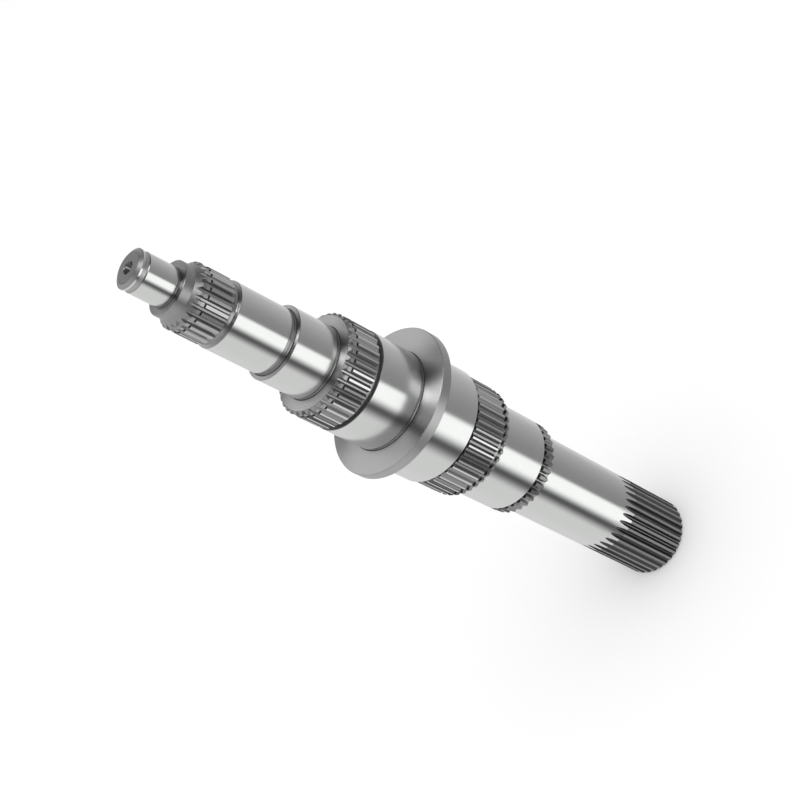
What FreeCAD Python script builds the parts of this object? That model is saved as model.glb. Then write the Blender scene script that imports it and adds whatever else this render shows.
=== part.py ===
import FreeCAD, Part
import math
import os

# Main shaft of a truck gearbox: one forging, turned, hobbed and ground all over.
# It stands on its output end. The axis is Z, and the origin is the centre of the output end face.
# Sizes are in millimetres, and angles in degrees.

# Lengths along the axis, in order from the output end up to the pilot nose
output_spline_length = 48.0
output_journal_length = 81.7
end_spline_length = 7.4
end_spline_groove = 1.7
lower_journal_length = 35.0
lower_lock_teeth = 2.3
lower_lock_groove = 2.3
lower_hub_teeth = 20.6
lower_tool_groove = 2.5
flange_journal_length = 30.9
flange_thickness = 6.5
upper_journal_length = 30.7
upper_deep_groove = 1.3
upper_tool_groove = 1.5
upper_hub_teeth = 15.2
upper_ring_groove = 3.2
upper_front_teeth = 2.4
middle_journal_length = 28.0
long_journal_length = 36.7
pilot_tool_groove = 3.8
pilot_hub_teeth = 14.2
pilot_ring_groove = 3.1
pilot_front_teeth = 1.8
collar_length = 5.7
pilot_journal_length = 18.4
nose_groove_length = 2.8
nose_length = 2.7

# Diameters of the ground journals and of the turned steps
output_journal_diameter = 50.0
lower_journal_diameter = 58.0
flange_journal_diameter = 70.0
flange_diameter = 89.2
upper_journal_diameter = 60.0
middle_journal_diameter = 43.4
long_journal_diameter = 38.3
collar_diameter = 31.0
pilot_journal_diameter = 22.7

# Each spline has a number of teeth, the share of its pitch that a tooth's land takes, the slope of
# a flank against its tooth, the height of a tooth, and the turn from the shaft's front, -Y, round
# to the middle of a tooth
output_teeth = 33
output_land_share = 0.38
output_flank_angle = 30.0
output_tooth_height = 1.5
output_turn = 5.0
end_teeth = 36
end_land_share = 0.42
end_flank_angle = 25.0
end_tooth_height = 1.85
end_turn = 2.6
lower_teeth = 41
lower_land_share = 0.24
lower_flank_angle = 30.0
lower_tooth_height = 1.85
lower_turn = -2.2
upper_teeth = 36
upper_land_share = 0.28
upper_flank_angle = 30.0
upper_tooth_height = 1.85
upper_turn = 1.9
pilot_teeth = 25
pilot_land_share = 0.41
pilot_flank_angle = 16.0
pilot_tooth_height = 1.75
pilot_turn = 2.2

# The hob rises out of the output spline's tooth spaces on its own radius
hob_radius = 35.0

# Clearances: each hub spline's tips lie under the journal that the mating bore slides on to, and
# the floors of the tool grooves and of the lock groove lie under those of the tooth spaces
tip_clearance = 0.1
lower_tip_clearance = 1.0
pilot_tip_clearance = 0.3
groove_clearance = 0.05
deep_groove_clearance = 1.0
cutter_overreach = 0.5

# Edges, reliefs and lead-ins
journal_edge = 0.5
flange_edge = 0.6
collar_edge = 0.3
end_edge = 1.0
end_spline_edge = 0.4
corner = 0.8
pilot_groove_corner = 1.2
lock_lead_in_angle = 20.0
upper_lead_in = 1.0
relief_depth = 0.45
relief_width = 2.2
pilot_relief_width = 1.3
step_relief_width = 3.6
upper_ring_groove_depth = 1.0
pilot_ring_groove_depth = 0.7
nose_groove_depth = 0.45
nose_edge_length = 1.3
nose_edge_height = 2.5

# Centre holes that the shaft is turned and ground between
centre_mouth_diameter = 7.5
centre_pilot_diameter = 3.2
centre_pilot_depth = 3.0
centre_cone_angle = 60.0

# Radii worked out from the diameters
output_journal_radius = output_journal_diameter / 2
lower_journal_radius = lower_journal_diameter / 2
end_tip_radius = lower_journal_radius - tip_clearance
flange_journal_radius = flange_journal_diameter / 2
lower_tip_radius = flange_journal_radius - lower_tip_clearance
flange_radius = flange_diameter / 2
upper_journal_radius = upper_journal_diameter / 2
upper_tip_radius = upper_journal_radius - tip_clearance
middle_journal_radius = middle_journal_diameter / 2
long_journal_radius = long_journal_diameter / 2
pilot_tip_radius = long_journal_radius - pilot_tip_clearance
collar_radius = collar_diameter / 2
pilot_journal_radius = pilot_journal_diameter / 2

# Heights of the steps above the output end
output_journal_start = output_spline_length
end_spline_start = output_journal_start + output_journal_length
end_groove_start = end_spline_start + end_spline_length
lower_journal_start = end_groove_start + end_spline_groove
lower_lock_start = lower_journal_start + lower_journal_length
lower_lock_groove_start = lower_lock_start + lower_lock_teeth
lower_hub_start = lower_lock_groove_start + lower_lock_groove
lower_tool_groove_start = lower_hub_start + lower_hub_teeth
flange_journal_start = lower_tool_groove_start + lower_tool_groove
flange_start = flange_journal_start + flange_journal_length
upper_journal_start = flange_start + flange_thickness
upper_deep_groove_start = upper_journal_start + upper_journal_length
upper_tool_groove_start = upper_deep_groove_start + upper_deep_groove
upper_hub_start = upper_tool_groove_start + upper_tool_groove
upper_ring_groove_start = upper_hub_start + upper_hub_teeth
upper_front_start = upper_ring_groove_start + upper_ring_groove
middle_journal_start = upper_front_start + upper_front_teeth
long_journal_start = middle_journal_start + middle_journal_length
pilot_tool_groove_start = long_journal_start + long_journal_length
pilot_hub_start = pilot_tool_groove_start + pilot_tool_groove
pilot_ring_groove_start = pilot_hub_start + pilot_hub_teeth
pilot_front_start = pilot_ring_groove_start + pilot_ring_groove
pilot_lead_in_start = pilot_front_start + pilot_front_teeth
pilot_lead_in = pilot_tip_radius - collar_radius
collar_start = pilot_lead_in_start + pilot_lead_in
pilot_journal_start = collar_start + collar_length
nose_groove_start = pilot_journal_start + pilot_journal_length
nose_start = nose_groove_start + nose_groove_length
shaft_length = nose_start + nose_length


def polar(radius, angle, height):
    """A point at a radius and an angle in degrees."""
    turn = math.radians(angle)
    return FreeCAD.Vector(radius * math.cos(turn), radius * math.sin(turn), height)


class Spline:
    """Teeth with straight flanks, and spaces with flat floors between them."""

    def __init__(self, tip_radius, tooth_height, teeth, land_share, flank_angle, turn):
        self.tip_radius = tip_radius
        self.floor_radius = tip_radius - tooth_height
        self.pitch = 360.0 / teeth
        self.half_space = self.pitch / 2 * (1 - land_share)
        self.slope = math.tan(math.radians(flank_angle + self.pitch / 2))
        self.half_mouth = tip_radius * math.sin(math.radians(self.half_space))
        self.half_floor = self.half_mouth - tooth_height * self.slope
        self.turns = [turn - 90 + self.pitch * (number + 0.5) for number in range(teeth)]

    def space(self, height, overreach):
        """The section of one tooth space, which reaches a little over the tips."""
        half_top = self.half_mouth + overreach * self.slope
        top = self.tip_radius + overreach
        corners = [
            FreeCAD.Vector(self.floor_radius, -self.half_floor, height),
            FreeCAD.Vector(top, -half_top, height),
            FreeCAD.Vector(top, half_top, height),
            FreeCAD.Vector(self.floor_radius, self.half_floor, height),
        ]
        return Part.Face(Part.makePolygon(corners + corners[:1]))

    def around(self, cutter):
        """Copies of a cutter, one for each tooth space."""
        axis = FreeCAD.Vector(0, 0, 1)
        return [cutter.rotated(FreeCAD.Vector(0, 0, 0), axis, turn) for turn in self.turns]

    def toothed_wire(self, height):
        """The outline of all the teeth together, with narrow flat lands."""
        half_floor = math.degrees(math.asin(self.half_floor / self.floor_radius))
        corners = []
        for turn in self.turns:
            corners.append(polar(self.tip_radius, turn - self.half_space, height))
            corners.append(polar(self.floor_radius, turn - half_floor, height))
            corners.append(polar(self.floor_radius, turn + half_floor, height))
            corners.append(polar(self.tip_radius, turn + self.half_space, height))
        return Part.makePolygon(corners + corners[:1])

    def ring_cutter(self, bottom, top):
        """Everything round the teeth from bottom to top, out to just over the tips."""
        disc = Part.Face(Part.Wire(Part.makeCircle(self.tip_radius + cutter_overreach,
                                                   FreeCAD.Vector(0, 0, bottom))))
        ring = disc.cut(Part.Face(self.toothed_wire(bottom)))
        return ring.Faces[0].extrude(FreeCAD.Vector(0, 0, top - bottom))


output_spline = Spline(output_journal_radius, output_tooth_height, output_teeth, output_land_share,
                       output_flank_angle, output_turn)
end_spline = Spline(end_tip_radius, end_tooth_height, end_teeth, end_land_share,
                    end_flank_angle, end_turn)
lower_spline = Spline(lower_tip_radius, lower_tooth_height, lower_teeth, lower_land_share,
                      lower_flank_angle, lower_turn)
upper_spline = Spline(upper_tip_radius, upper_tooth_height, upper_teeth, upper_land_share,
                      upper_flank_angle, upper_turn)
pilot_spline = Spline(pilot_tip_radius, pilot_tooth_height, pilot_teeth, pilot_land_share,
                      pilot_flank_angle, pilot_turn)


class Outline:
    """The shaft's half section, drawn point by point as radius and height."""

    def __init__(self, radius, height):
        self.start = FreeCAD.Vector(radius, 0, height)
        self.last = self.start
        self.edges = []

    def to(self, radius, height):
        """Draws a straight edge."""
        end = FreeCAD.Vector(radius, 0, height)
        self.edges.append(Part.LineSegment(self.last, end).toShape())
        self.last = end

    def turn_solid(self):
        """Closes the half section along the axis and turns it into a solid."""
        self.to(self.start.x, self.start.z)
        face = Part.Face(Part.Wire(self.edges))
        return face.revolve(FreeCAD.Vector(0, 0, 0), FreeCAD.Vector(0, 0, 1), 360)


def centre_cone_depth():
    """The depth of a centre hole's cone."""
    mouth = (centre_mouth_diameter - centre_pilot_diameter) / 2
    return mouth / math.tan(math.radians(centre_cone_angle / 2))


def draw_output_end(outline):
    """Centre hole, end face, and one ground diameter for the output spline and its journal."""
    cone = centre_cone_depth()
    outline.to(centre_pilot_diameter / 2, cone + centre_pilot_depth)
    outline.to(centre_pilot_diameter / 2, cone)
    outline.to(centre_mouth_diameter / 2, 0)
    outline.to(output_journal_radius - end_edge, 0)
    outline.to(output_journal_radius, end_edge)
    outline.to(output_journal_radius, end_spline_start - corner)
    outline.to(output_journal_radius + corner, end_spline_start)


def draw_end_spline(outline):
    """Short spline with bevelled lower ends, and the groove above it."""
    floor = end_spline.floor_radius - groove_clearance
    outline.to(end_tip_radius - end_spline_edge, end_spline_start)
    outline.to(end_tip_radius, end_spline_start + 2 * end_spline_edge)
    outline.to(end_tip_radius, end_groove_start)
    outline.to(floor, end_groove_start)
    outline.to(floor, lower_journal_start)
    outline.to(lower_journal_radius, lower_journal_start)
    outline.to(lower_journal_radius, lower_lock_start - corner)
    outline.to(lower_journal_radius + corner, lower_lock_start)


def draw_lower_spline(outline):
    """Lower hub spline: locking teeth, lock groove, hub teeth and tool groove."""
    floor = lower_spline.floor_radius - groove_clearance
    drop = lower_lock_teeth * math.tan(math.radians(lock_lead_in_angle))
    outline.to(lower_tip_radius - drop, lower_lock_start)
    outline.to(lower_tip_radius, lower_lock_groove_start)
    outline.to(floor, lower_lock_groove_start)
    outline.to(floor, lower_hub_start)
    outline.to(lower_tip_radius, lower_hub_start)
    outline.to(lower_tip_radius, lower_tool_groove_start)
    outline.to(floor, lower_tool_groove_start)
    outline.to(floor, flange_journal_start)


def draw_flange(outline):
    """Journal below the flange and the thrust flange."""
    outline.to(flange_journal_radius, flange_journal_start)
    outline.to(flange_journal_radius, flange_start - corner)
    outline.to(flange_journal_radius + corner, flange_start)
    outline.to(flange_radius - flange_edge, flange_start)
    outline.to(flange_radius, flange_start + flange_edge)
    outline.to(flange_radius, upper_journal_start - flange_edge)
    outline.to(flange_radius - flange_edge, upper_journal_start)


def draw_relief(outline, radius, face, width):
    """Undercut at the foot of a journal, so that what slides on to it seats on the face below."""
    floor = radius - relief_depth
    outline.to(floor, face)
    outline.to(floor, face + width - relief_depth)
    outline.to(radius, face + width)


def draw_upper_spline(outline):
    """Upper journal, deep groove, tool groove, hub teeth, snap ring groove and front teeth."""
    deep_floor = upper_spline.floor_radius - deep_groove_clearance
    tool_floor = upper_spline.floor_radius - groove_clearance
    ring_floor = upper_tip_radius - upper_ring_groove_depth
    draw_relief(outline, upper_journal_radius, upper_journal_start, relief_width)
    outline.to(upper_journal_radius, upper_deep_groove_start)
    outline.to(deep_floor, upper_deep_groove_start)
    outline.to(deep_floor, upper_tool_groove_start)
    outline.to(tool_floor, upper_tool_groove_start)
    outline.to(tool_floor, upper_hub_start)
    outline.to(upper_tip_radius, upper_hub_start)
    outline.to(upper_tip_radius, upper_ring_groove_start)
    outline.to(ring_floor, upper_ring_groove_start)
    outline.to(ring_floor, upper_front_start)
    outline.to(upper_tip_radius, upper_front_start)
    outline.to(upper_tip_radius, middle_journal_start - upper_lead_in)
    outline.to(upper_spline.floor_radius, middle_journal_start)


def draw_journals(outline):
    """Middle and long journals, with a step and a relief between them."""
    draw_relief(outline, middle_journal_radius, middle_journal_start, relief_width)
    outline.to(middle_journal_radius, long_journal_start - journal_edge)
    outline.to(middle_journal_radius - journal_edge, long_journal_start)
    draw_relief(outline, long_journal_radius, long_journal_start, step_relief_width)
    outline.to(long_journal_radius, pilot_tool_groove_start - journal_edge)
    outline.to(long_journal_radius - journal_edge, pilot_tool_groove_start)


def draw_pilot_spline(outline):
    """Tool groove, hub teeth, snap ring groove and front teeth with their long lead-in."""
    floor = pilot_spline.floor_radius - groove_clearance
    ring_floor = pilot_tip_radius - pilot_ring_groove_depth
    outline.to(floor + pilot_groove_corner, pilot_tool_groove_start)
    outline.to(floor, pilot_tool_groove_start + pilot_groove_corner)
    outline.to(floor, pilot_hub_start)
    outline.to(pilot_tip_radius, pilot_hub_start)
    outline.to(pilot_tip_radius, pilot_ring_groove_start)
    outline.to(ring_floor, pilot_ring_groove_start)
    outline.to(ring_floor, pilot_front_start)
    outline.to(pilot_tip_radius, pilot_front_start)
    outline.to(pilot_tip_radius, pilot_lead_in_start)
    outline.to(collar_radius, collar_start)


def draw_pilot_end(outline):
    """Collar, pilot journal, nose groove, nose and its centre hole."""
    cone = centre_cone_depth()
    nose_floor = pilot_journal_radius - nose_groove_depth
    outline.to(collar_radius, pilot_journal_start - collar_edge)
    outline.to(collar_radius - collar_edge, pilot_journal_start)
    draw_relief(outline, pilot_journal_radius, pilot_journal_start, pilot_relief_width)
    outline.to(pilot_journal_radius, nose_groove_start)
    outline.to(nose_floor, nose_groove_start)
    outline.to(nose_floor, nose_start)
    outline.to(pilot_journal_radius, nose_start)
    outline.to(pilot_journal_radius, shaft_length - nose_edge_length)
    outline.to(pilot_journal_radius - nose_edge_height, shaft_length)
    outline.to(centre_mouth_diameter / 2, shaft_length)
    outline.to(centre_pilot_diameter / 2, shaft_length - cone)
    outline.to(centre_pilot_diameter / 2, shaft_length - cone - centre_pilot_depth)
    outline.to(0, shaft_length - cone - centre_pilot_depth)


def turned_blank():
    """The shaft as it leaves the lathe, before its teeth are cut."""
    outline = Outline(0, centre_cone_depth() + centre_pilot_depth)
    draw_output_end(outline)
    draw_end_spline(outline)
    draw_lower_spline(outline)
    draw_flange(outline)
    draw_upper_spline(outline)
    draw_journals(outline)
    draw_pilot_spline(outline)
    draw_pilot_end(outline)
    return outline.turn_solid()


def output_spaces():
    """Cutters for the output spline: straight spaces, then the hob's rise through the journal."""
    section = output_spline.space(output_journal_start, cutter_overreach)
    straight = section.extrude(FreeCAD.Vector(0, 0, -output_journal_start - end_edge))
    hob_centre = FreeCAD.Vector(output_spline.floor_radius + hob_radius, 0, output_journal_start)
    rise = output_tooth_height + cutter_overreach
    sweep = math.degrees(math.acos(1 - rise / hob_radius))
    run_out = section.revolve(hob_centre, FreeCAD.Vector(0, 1, 0), sweep)
    return output_spline.around(straight) + output_spline.around(run_out)


def hub_spaces():
    """Cutters for the four splines that carry hubs and rings."""
    end_top = end_groove_start + end_spline_groove / 2
    lower_top = lower_tool_groove_start + lower_tool_groove / 2
    upper_bottom = upper_hub_start - upper_tool_groove / 2
    pilot_bottom = pilot_hub_start - pilot_tool_groove / 2
    return [
        end_spline.ring_cutter(end_spline_start - end_edge, end_top),
        lower_spline.ring_cutter(lower_lock_start - end_edge, lower_top),
        upper_spline.ring_cutter(upper_bottom, middle_journal_start + end_edge),
        pilot_spline.ring_cutter(pilot_bottom, collar_start),
    ]


def main_shaft():
    """The finished shaft: the turned blank with its five splines cut."""
    return turned_blank().cut(hub_spaces() + output_spaces())


def write_part(name, shape):
    """Writes one piece as a STEP file."""
    solid = shape.Solids[0]
    solid.exportStep("parts/" + name + ".step")
    print(name, "solids", len(shape.Solids), "valid", solid.isValid(), "volume", round(solid.Volume, 1))


os.makedirs("parts", exist_ok=True)
write_part("main_shaft", main_shaft())
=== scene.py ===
"""The looks of a gearbox main shaft: one steel forging with ground journals and hobbed splines.

The shaft stands on its output end, with its pilot nose up. Sizes in the classes are in millimetres
and angles in degrees. Heights are above the output end face.
"""

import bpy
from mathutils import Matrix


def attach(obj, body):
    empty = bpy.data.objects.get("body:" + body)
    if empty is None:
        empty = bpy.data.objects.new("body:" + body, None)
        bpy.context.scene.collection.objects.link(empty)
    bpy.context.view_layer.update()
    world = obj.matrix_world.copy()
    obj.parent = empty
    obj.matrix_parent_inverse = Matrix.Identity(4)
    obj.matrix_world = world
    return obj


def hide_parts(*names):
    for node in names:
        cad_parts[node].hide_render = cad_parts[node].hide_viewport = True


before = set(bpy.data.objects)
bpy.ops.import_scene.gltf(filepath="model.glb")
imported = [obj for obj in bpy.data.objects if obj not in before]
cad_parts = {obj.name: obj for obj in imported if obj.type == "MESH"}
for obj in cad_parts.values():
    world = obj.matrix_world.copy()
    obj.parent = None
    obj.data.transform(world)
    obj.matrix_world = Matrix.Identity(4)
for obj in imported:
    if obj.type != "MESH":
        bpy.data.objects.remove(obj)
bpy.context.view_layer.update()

import logging
import math
from abc import ABC, abstractmethod
from dataclasses import dataclass, field
from enum import Enum

import bpy
import numpy as np
from mathutils import Vector

log = logging.getLogger("main_shaft")

MM = 0.001
Colour = tuple[float, float, float]
Tree = bpy.types.NodeTree
Socket = bpy.types.NodeSocket


# Maths on node sockets


class Value:
    """A socket that holds a number, on which Python's operators add the Math nodes.

    Args:
        tree: The node tree that the nodes are added to.
        socket: The socket that gives the number.
    """

    def __init__(self, tree: Tree, socket: Socket) -> None:
        self.tree = tree
        self.socket = socket

    def math(self, operation: str, *others: "Value | float") -> "Value":
        """Adds a Math node with this value as its first input.

        Args:
            operation: The Math node's operation.
            others: Its further inputs.

        Returns:
            The node's result.
        """
        return math_node(self.tree, operation, self, *others)

    def __add__(self, other: "Value | float") -> "Value":
        """Sum."""
        return self.math("ADD", other)

    def __radd__(self, other: float) -> "Value":
        """Sum with a number on the left."""
        return self.math("ADD", other)

    def __sub__(self, other: "Value | float") -> "Value":
        """Difference."""
        return self.math("SUBTRACT", other)

    def __rsub__(self, other: float) -> "Value":
        """Difference from a number on the left."""
        return math_node(self.tree, "SUBTRACT", other, self)

    def __mul__(self, other: "Value | float") -> "Value":
        """Product."""
        return self.math("MULTIPLY", other)

    def __rmul__(self, other: float) -> "Value":
        """Product with a number on the left."""
        return self.math("MULTIPLY", other)

    def __truediv__(self, other: "Value | float") -> "Value":
        """Quotient."""
        return self.math("DIVIDE", other)

    def __rtruediv__(self, other: float) -> "Value":
        """Quotient of a number on the left."""
        return math_node(self.tree, "DIVIDE", other, self)

    def __neg__(self) -> "Value":
        """Opposite."""
        return self.math("MULTIPLY", -1.0)

    def __abs__(self) -> "Value":
        """Size without sign."""
        return self.math("ABSOLUTE")

    def floor(self) -> "Value":
        """Whole number at or below."""
        return self.math("FLOOR")

    def sin(self) -> "Value":
        """Sine of radians."""
        return self.math("SINE")

    def cos(self) -> "Value":
        """Cosine of radians."""
        return self.math("COSINE")

    def root(self) -> "Value":
        """Square root."""
        return self.math("SQRT")

    def at_least(self, low: "Value | float") -> "Value":
        """The larger of this and another value."""
        return self.math("MAXIMUM", low)

    def at_most(self, high: "Value | float") -> "Value":
        """The smaller of this and another value."""
        return self.math("MINIMUM", high)

    def smooth(self, start: float, end: float) -> "Value":
        """A smooth step from 0 at start to 1 at end, which may lie either way round.

        Args:
            start: The value at which the step is 0.
            end: The value at which it is 1.

        Returns:
            The step.
        """
        low, high = sorted((start, end))
        inputs = {"Value": self, "From Min": low, "From Max": high}
        node = add_node(self.tree, "ShaderNodeMapRange", {"interpolation_type": "SMOOTHSTEP"}, inputs)
        step = Value(self.tree, node.outputs["Result"])
        return step if start < end else 1 - step


def math_node(tree: Tree, operation: str, *values: "Value | float") -> Value:
    """Adds one Math node.

    Args:
        tree: The tree that it goes in.
        operation: Its operation.
        values: Its inputs.

    Returns:
        Its result.
    """
    node = add_node(tree, "ShaderNodeMath", {"operation": operation}, dict(enumerate(values)))
    return Value(tree, node.outputs[0])


def add_node(tree: Tree, kind: str, settings: dict[str, object] | None = None,
             inputs: dict[str | int, object] | None = None) -> bpy.types.Node:
    """Adds any node: its settings first, then the values or links of its sockets.

    Args:
        tree: The tree that it goes in.
        kind: The node's type.
        settings: Properties of the node.
        inputs: Numbers, colours, sockets or Values, by the socket's name or number.

    Returns:
        The node.
    """
    node = tree.nodes.new(kind)
    for name, value in (settings or {}).items():
        setattr(node, name, value)
    for name, value in (inputs or {}).items():
        socket = node.inputs[name]
        if isinstance(value, (Value, Socket)):
            tree.links.new(value.socket if isinstance(value, Value) else value, socket)
        else:
            socket.default_value = value
    return node


def split(tree: Tree, vector: Socket) -> list[Value]:
    """Takes a vector apart.

    Args:
        tree: The tree that the node goes in.
        vector: The vector.

    Returns:
        Its X, Y and Z.
    """
    node = add_node(tree, "ShaderNodeSeparateXYZ", inputs={"Vector": vector})
    return [Value(tree, node.outputs[axis]) for axis in "XYZ"]


def join(tree: Tree, x: Value, y: Value, z: Value) -> Socket:
    """Makes a vector of three values.

    Args:
        tree: The tree that the node goes in.
        x: Its X.
        y: Its Y.
        z: Its Z.

    Returns:
        The vector.
    """
    return add_node(tree, "ShaderNodeCombineXYZ", inputs={"X": x, "Y": y, "Z": z}).outputs["Vector"]


# Finishes of the steel


@dataclass(frozen=True)
class SteelFinish:
    """One finish of the shaft's steel.

    Lay is the pattern of fine lines that the cutter or the wheel left. Its turn is 0.25 where the
    lines run round the axis and 0 where they run along it.
    """

    LEAST_ROUGHNESS = 0.03
    LINE_LENGTH = 60
    LINE_DETAIL = 2.0
    BLOTCH_DETAIL = 3.0
    DETAIL_SHARE = 0.5

    name: str
    colour: Colour
    roughness: float
    roughness_spread: float
    anisotropy: float
    lay_pitch: float
    lay_depth: float
    blotch_size: float
    blotch_tone: float
    lay_turn: float = 0.25

    def material(self) -> bpy.types.Material:
        """Builds the finish.

        Returns:
            The material.
        """
        made = bpy.data.materials.new(self.name)
        made.use_nodes = True
        tree = made.node_tree
        tree.nodes.clear()
        place = add_node(tree, "ShaderNodeTexCoord").outputs["Object"]
        lay = self.lay(tree, place)
        blotch = self.noise(tree, place, 1 / (self.blotch_size * MM), self.BLOTCH_DETAIL)
        tone = 1 + (blotch - 0.5) * self.blotch_tone
        shade = add_node(
            tree, "ShaderNodeVectorMath", {"operation": "SCALE"}, {0: self.colour, "Scale": tone}
        )
        rough = self.roughness + (lay - 0.5) * self.roughness_spread + (blotch - 0.5) * self.roughness_spread
        bump = add_node(
            tree,
            "ShaderNodeBump",
            inputs={"Strength": 1.0, "Distance": self.lay_depth * MM, "Height": lay},
        )
        shader = add_node(
            tree,
            "ShaderNodeBsdfPrincipled",
            inputs={
                "Base Color": shade.outputs["Vector"],
                "Metallic": 1.0,
                "Roughness": rough.at_least(self.LEAST_ROUGHNESS),
                "Anisotropic": self.anisotropy,
                "Anisotropic Rotation": self.lay_turn,
                "Normal": bump.outputs["Normal"],
            },
        )
        add_node(tree, "ShaderNodeOutputMaterial", inputs={"Surface": shader.outputs["BSDF"]})
        return made

    def lay(self, tree: Tree, place: Socket) -> Value:
        """The lines round the axis, on cylinders and on faces alike.

        Args:
            tree: The material's tree.
            place: The place on the shaft.

        Returns:
            A height from 0 to 1.
        """
        x, y, z = split(tree, place)
        radius = (x * x + y * y).root()
        across = 1 / (self.lay_pitch * MM)
        along = across / self.LINE_LENGTH
        spot = join(tree, x * along, y * along, (z + radius) * across)
        return self.noise(tree, spot, 1.0, self.LINE_DETAIL)

    def noise(self, tree: Tree, place: Socket, scale: float, detail: float) -> Value:
        """Smooth noise.

        Args:
            tree: The material's tree.
            place: Where it is read.
            scale: Patches to a metre of place.
            detail: How much finer noise is added.

        Returns:
            The noise, about 0.5 on average.
        """
        inputs = {"Vector": place, "Scale": scale, "Detail": detail, "Roughness": self.DETAIL_SHARE}
        return Value(tree, add_node(tree, "ShaderNodeTexNoise", inputs=inputs).outputs["Fac"])


def grey(tone: float) -> Colour:
    """A colour without a tint."""
    return (tone, tone, tone)


class Surface(Enum):
    """The ways in which the shaft's surfaces were cut, each with its finish, some darkened as painted shade.

    The numbers after a finish's colour are its roughness and how far that spreads, its anisotropy,
    the pitch and the depth of its lay, and the size and the tone of its blotches.
    """

    GROUND = SteelFinish("ground_journal", (0.62, 0.63, 0.62), 0.17, 0.05, 0.7, 0.35, 0.0006, 14, 0.05)
    # The turned finish is darkened as painted shade for the grooves and undercuts that it covers.
    TURNED = SteelFinish("turned_groove_painted_shade", grey(0.32), 0.28, 0.06, 0.7, 0.30, 0.0006, 6, 0.10)
    FACED = SteelFinish("turned_face", grey(0.54), 0.36, 0.06, 1.0, 0.40, 0.0004, 9, 0.06)
    HUB_FACE = SteelFinish("hub_face", grey(0.50), 0.34, 0.06, 1.0, 0.40, 0.0004, 9, 0.06)
    MATT = SteelFinish("matt_rim", grey(0.41), 0.42, 0.06, 0.3, 0.40, 0.0010, 5, 0.10)
    DULL = SteelFinish("dull_step", grey(0.32), 0.42, 0.06, 0.3, 0.40, 0.0010, 5, 0.10)
    LAND = SteelFinish("tooth_land", (0.62, 0.63, 0.62), 0.18, 0.05, 0.6, 0.30, 0.0006, 5, 0.06)
    # Flank colours are darkened as painted shade: the dark corners and neighbouring flanks that a flank
    # reflects.
    FLANK = SteelFinish("hobbed_flank_painted_shade", grey(0.20), 0.35, 0.08, 0.2, 1.10, 0.0030, 4, 0.15)
    FLOOR = SteelFinish("space_floor", grey(0.41), 0.34, 0.08, 0.4, 1.10, 0.0015, 4, 0.15)
    PILOT_LAND = SteelFinish("pilot_land", grey(0.46), 0.32, 0.08, 0.3, 0.60, 0.0010, 4, 0.15)
    LOWER_FLOOR = SteelFinish("lower_floor", grey(0.30), 0.28, 0.08, 0.4, 1.10, 0.0015, 4, 0.15)
    END_LAND = SteelFinish("end_land", (0.25, 0.25, 0.24), 0.32, 0.08, 0.3, 0.60, 0.0020, 4, 0.15)
    # Unground, rough lands; their dark colour is also painted shade where the light band stops above the
    # output spline.
    OUTPUT_LAND = SteelFinish("output_land", grey(0.33), 0.62, 0.08, 0.6, 0.90, 0.0020, 4, 0.15, 0.0)
    # Painted shade: the output spline's flanks and floors are near black for the shade between its teeth.
    OUTPUT_FLANK = SteelFinish("output_flank", grey(0.05), 0.40, 0.08, 0.2, 0.90, 0.0030, 4, 0.15)
    OUTPUT_FLOOR = SteelFinish("output_floor", grey(0.16), 0.40, 0.08, 0.2, 0.90, 0.0030, 4, 0.15)
    # Painted shade: a near-black colour for the shade at tooth ends, undercut slopes and the corners beside
    # faces.
    SHADED = SteelFinish("painted_shade", grey(0.05), 0.50, 0.08, 0.2, 0.40, 0.0020, 4, 0.15)
    DEEP = SteelFinish("deep_groove", grey(0.30), 0.50, 0.08, 0.2, 0.40, 0.0020, 4, 0.15)
    CENTRE = SteelFinish("centre_hole", grey(0.20), 0.20, 0.05, 0.3, 0.30, 0.0006, 4, 0.10)
    NOSE = SteelFinish("nose_face", grey(0.195), 0.42, 0.06, 0.3, 0.40, 0.0010, 5, 0.12)
    COLLAR_FACE = SteelFinish("collar_face", grey(0.28), 0.34, 0.06, 1.0, 0.40, 0.0004, 5, 0.08)
    # Painted shade in the pilot spline's flanks, as for the other flanks.
    PILOT_FLANK = SteelFinish("pilot_flank", grey(0.27), 0.30, 0.08, 0.2, 1.10, 0.0030, 4, 0.15)

    @property
    def slot(self) -> int:
        """The number of the shaft's material slot that holds it."""
        return list(Surface).index(self)


@dataclass(frozen=True)
class ToothFinish:
    """The finishes of a tooth's land, its flanks and the floors beside it."""

    land: Surface = Surface.LAND
    flank: Surface = Surface.FLANK
    floor: Surface = Surface.FLOOR


HUB_TEETH = ToothFinish()
LOWER_TEETH = ToothFinish(floor=Surface.LOWER_FLOOR)
LOCK_TEETH = ToothFinish(Surface.DULL, Surface.FLANK, Surface.LOWER_FLOOR)
END_TEETH = ToothFinish(land=Surface.END_LAND)
FRONT_TEETH = ToothFinish(land=Surface.DULL)
# Painted shade on the lands where rows of teeth end and at the snap ring grooves' walls.
SHADED_TOOTH_END = ToothFinish(land=Surface.SHADED)
PILOT_FRONT = ToothFinish(Surface.DULL, Surface.PILOT_FLANK, Surface.DULL)
PILOT_TEETH = ToothFinish(Surface.PILOT_LAND, Surface.PILOT_FLANK, Surface.FLOOR)
GROOVED_END = ToothFinish(Surface.TURNED, Surface.TURNED, Surface.TURNED)
RING_GROOVE = ToothFinish(land=Surface.MATT)
RUN_OUT = ToothFinish(Surface.GROUND, Surface.OUTPUT_FLANK, Surface.OUTPUT_FLOOR)
OUTPUT_TEETH = ToothFinish(Surface.OUTPUT_LAND, Surface.OUTPUT_FLANK, Surface.OUTPUT_FLOOR)


# The shaft's outline, from the pilot nose down


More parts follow.
